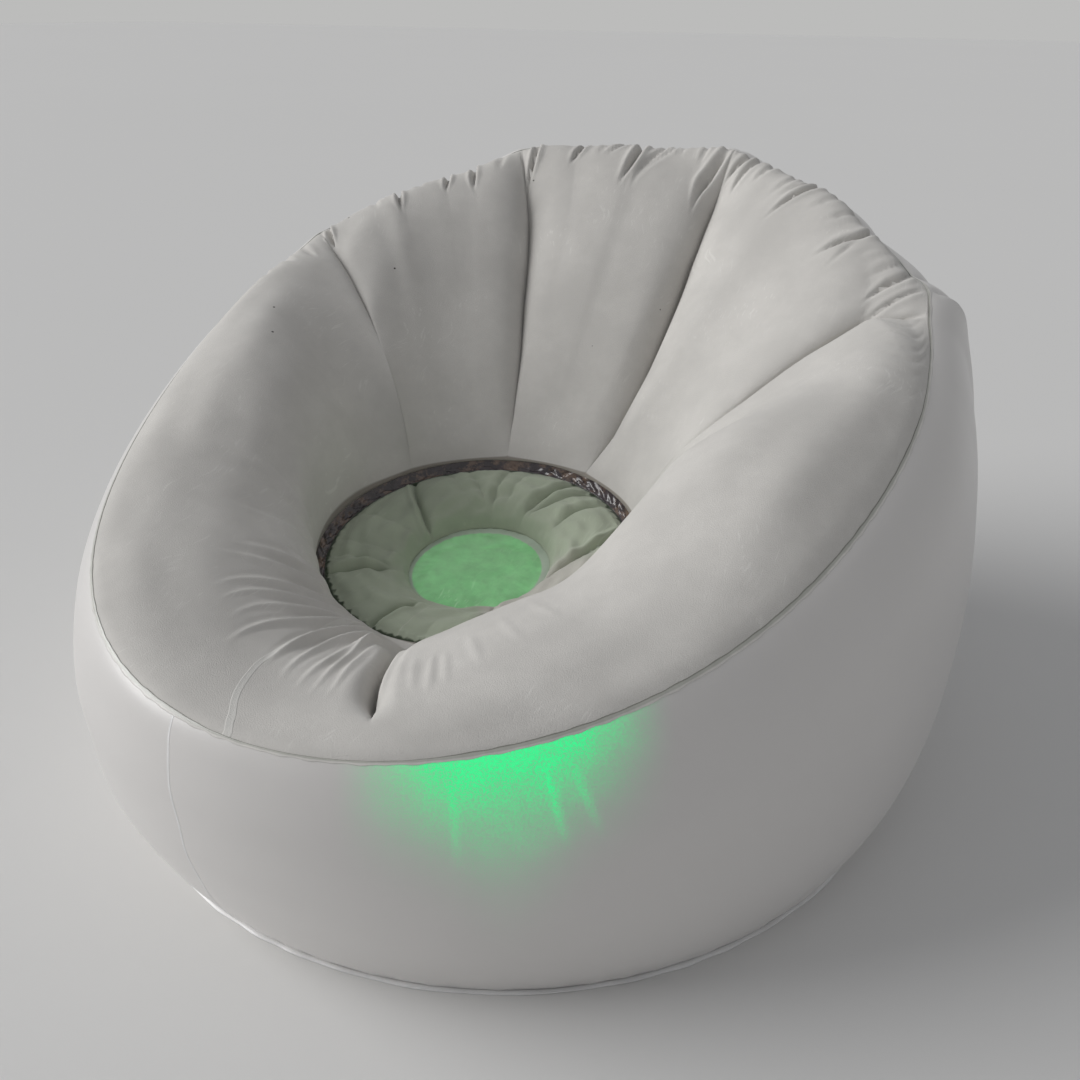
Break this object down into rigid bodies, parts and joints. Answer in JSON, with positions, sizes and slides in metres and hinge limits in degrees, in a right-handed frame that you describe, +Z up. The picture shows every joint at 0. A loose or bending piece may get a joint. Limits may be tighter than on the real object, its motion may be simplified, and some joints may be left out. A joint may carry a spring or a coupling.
{
  "type": "inflatable chair",
  "caption": "Inflatable bowl chair: a round frosted air cushion with a deep flocked bucket seat, a clear window in the seat and a push-in light unit under it.",
  "frame": {"origin": "middle of the round base, on the floor", "axes": "+Z up, -Y out of the chair's front, +X to the sitter's left"},
  "size_m": [1.1468, 1.2095, 0.6969],
  "materials": {
    "frosted_vinyl": "pearly translucent soft vinyl, satin",
    "welded_vinyl": "pressed weld of two vinyl sheets, translucent, slightly glossy",
    "flocked_vinyl": "short velvety flock on soft vinyl",
    "flocked_seat_vinyl": "short velvety flock on soft vinyl, lit from below",
    "lit_window_vinyl": "translucent vinyl glowing green from the light below",
    "clear_vinyl": "clear soft vinyl, glossy",
    "baffle_vinyl": "translucent soft vinyl sheet",
    "collar_plastic": "moulded, satin",
    "housing_plastic": "moulded white plastic, fine grain",
    "diffuser_plastic": "milky translucent diffuser",
    "board_laminate": "solder-masked circuit board",
    "led_resin": "clear resin over a lit chip",
    "cell_jacket": "printed-free glossy cell jacket with a bare steel tip",
    "steel": "bright spring steel",
    "soft_rubber": "matt soft rubber",
    "switch_plastic": "matt black plastic",
    "valve_plastic": "soft moulded vinyl, satin"
  },
  "bodies": {
    "chair": {"side_wall": "frosted_vinyl", "side_wall_weld": "welded_vinyl", "rim_weld": "welded_vinyl", "base_weld": "welded_vinyl", "bottom_panel": "frosted_vinyl", "bowl_panel": "flocked_vinyl", "bowl_panel_weld": "flocked_vinyl", "clear_ring": "clear_vinyl", "seat_panel": "flocked_seat_vinyl", "seat_window": "lit_window_vinyl", "centre_tube": "clear_vinyl", "baffle_front": "baffle_vinyl", "baffle_right_arm": "baffle_vinyl", "baffle_back_right": "baffle_vinyl", "baffle_back_left": "baffle_vinyl", "baffle_left_arm": "baffle_vinyl", "light_pocket": "clear_vinyl", "pocket_collar": "collar_plastic", "valve_body": "valve_plastic", "valve_strap": "valve_plastic"},
    "light_unit": {"light_housing": "housing_plastic", "light_lens": "diffuser_plastic", "light_board": "board_laminate", "light_led_1": "led_resin", "light_led_2": "led_resin", "light_led_3": "led_resin", "light_led_4": "led_resin", "light_switch": "switch_plastic", "battery_tray": "housing_plastic", "battery_1": "cell_jacket", "battery_2": "cell_jacket", "battery_3": "cell_jacket", "input_contact": "steel", "link_contact_1": "steel", "link_contact_2": "steel", "output_contact": "steel"},
    "battery_door": {"battery_door": "housing_plastic", "door_screw": "steel"},
    "light_button": {"light_button": "soft_rubber"},
    "valve_cap": {"valve_cap": "valve_plastic"},
    "valve_flap": {"valve_flap": "soft_rubber"}
  },
  "joints": [
    {"name": "light_unit_slide", "type": "slide", "parent": "chair", "child": "light_unit", "axis": [0, 0, -1], "range_m": [0, 0.06]},
    {"name": "battery_door_slide", "type": "slide", "parent": "light_unit", "child": "battery_door", "axis": [0, 0, -1], "range_m": [0, 0.02]},
    {"name": "light_button_press", "type": "slide", "parent": "light_unit", "child": "light_button", "axis": [0, 0, 1], "range_m": [0, 0.0015], "stiffness_N_per_m": 600},
    {"name": "valve_cap_hinge", "type": "hinge", "parent": "chair", "child": "valve_cap", "pos_m": [0, 0.61484, 0.28011], "axis": [-1, 0, 0], "range_deg": [0, 150]},
    {"name": "valve_flap_hinge", "type": "hinge", "parent": "chair", "child": "valve_flap", "pos_m": [0, 0.59624, 0.31672], "axis": [-1, 0, 0], "range_deg": [0, 40], "stiffness_Nm_per_rad": 0.002}
  ]
}
